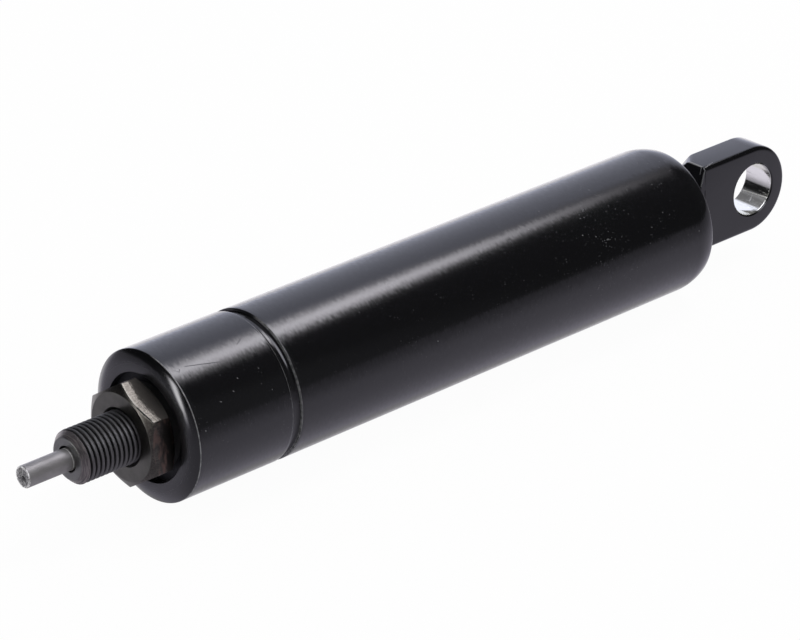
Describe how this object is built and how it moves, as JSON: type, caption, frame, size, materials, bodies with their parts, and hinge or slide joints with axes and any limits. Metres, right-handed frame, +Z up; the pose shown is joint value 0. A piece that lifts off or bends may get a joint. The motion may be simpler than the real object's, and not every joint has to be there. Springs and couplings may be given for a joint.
{
  "type": "steering damper",
  "caption": "Slim black cylindrical steering damper with a flat welded eye at one end and, at the other, a hollow threaded rod with a jam nut and a push-in valve release pin.",
  "frame": {"origin": "centre of the eye's bore", "axes": "+X along the damper's axis to the rod's free end, the way the rod extends; +Y along the eye's bore; +Z up"},
  "size_m": [0.1816, 0.028, 0.028],
  "materials": {
    "tube_paint": "gloss black paint",
    "lug_paint": "gloss black paint, with the bore reamed bare",
    "rod_steel": "dark blackened steel, ground on the plain length",
    "nut_steel": "black oxide, worn at the edges",
    "pin_steel": "bare drawn steel, sheared tip",
    "plain_steel": "turned steel",
    "turned_aluminium": "turned",
    "black_anodised": "turned and black anodised",
    "bearing_bronze": "sintered bronze",
    "slide_plastic": "filled sliding plastic",
    "seal_rubber": "moulded nitrile",
    "wiper_rubber": "moulded, matt"
  },
  "bodies": {
    "barrel": {"pressure_tube": "tube_paint", "eye_lug": "lug_paint", "weld_bead": "tube_paint", "support_washer": "plain_steel", "rod_seal": "seal_rubber", "rod_guide": "black_anodised", "guide_bush": "bearing_bronze", "guide_o_ring": "seal_rubber", "wiper_ring": "wiper_rubber"},
    "rod_carriage": {"piston_ring": "slide_plastic"},
    "rod": {"piston_rod": "rod_steel", "rebound_stop": "slide_plastic", "piston_body": "turned_aluminium", "piston_energiser": "seal_rubber", "valve_body": "plain_steel", "valve_retainer": "plain_steel", "seat_seal": "seal_rubber", "stem_seal": "seal_rubber"},
    "jam_nut": {"jam_nut": "nut_steel"},
    "release_pin": {"release_pin": "pin_steel", "valve_tappet": "plain_steel"},
    "separator": {"separator_piston": "turned_aluminium", "separator_o_ring_gas": "seal_rubber", "separator_o_ring_oil": "seal_rubber"}
  },
  "joints": [
    {"name": "rod_slide", "type": "slide", "parent": "barrel", "child": "rod_carriage", "axis": [1, 0, 0], "range_m": [0, 0.04]},
    {"name": "rod_spin", "type": "hinge", "parent": "rod_carriage", "child": "rod", "pos_m": [0, 0, 0], "axis": [-1, 0, 0], "range_deg": [0, 3600]},
    {"name": "nut_feed", "type": "slide", "parent": "rod_carriage", "child": "jam_nut", "axis": [1, 0, 0], "range_m": [0, 0.01]},
    {"name": "pin_press", "type": "slide", "parent": "rod", "child": "release_pin", "axis": [-1, 0, 0], "range_m": [0, 0.0025], "stiffness_N_per_m": 2000, "springref_m": -0.005},
    {"name": "separator_slide", "type": "slide", "parent": "barrel", "child": "separator", "axis": [1, 0, 0], "range_m": [0, 0.0064]}
  ],
  "couplings": [
    {"joint": "nut_feed", "follows": "rod_spin", "m_per_rad": 0.00015915},
    {"joint": "separator_slide", "follows": "rod_slide", "ratio": 0.16}
  ]
}
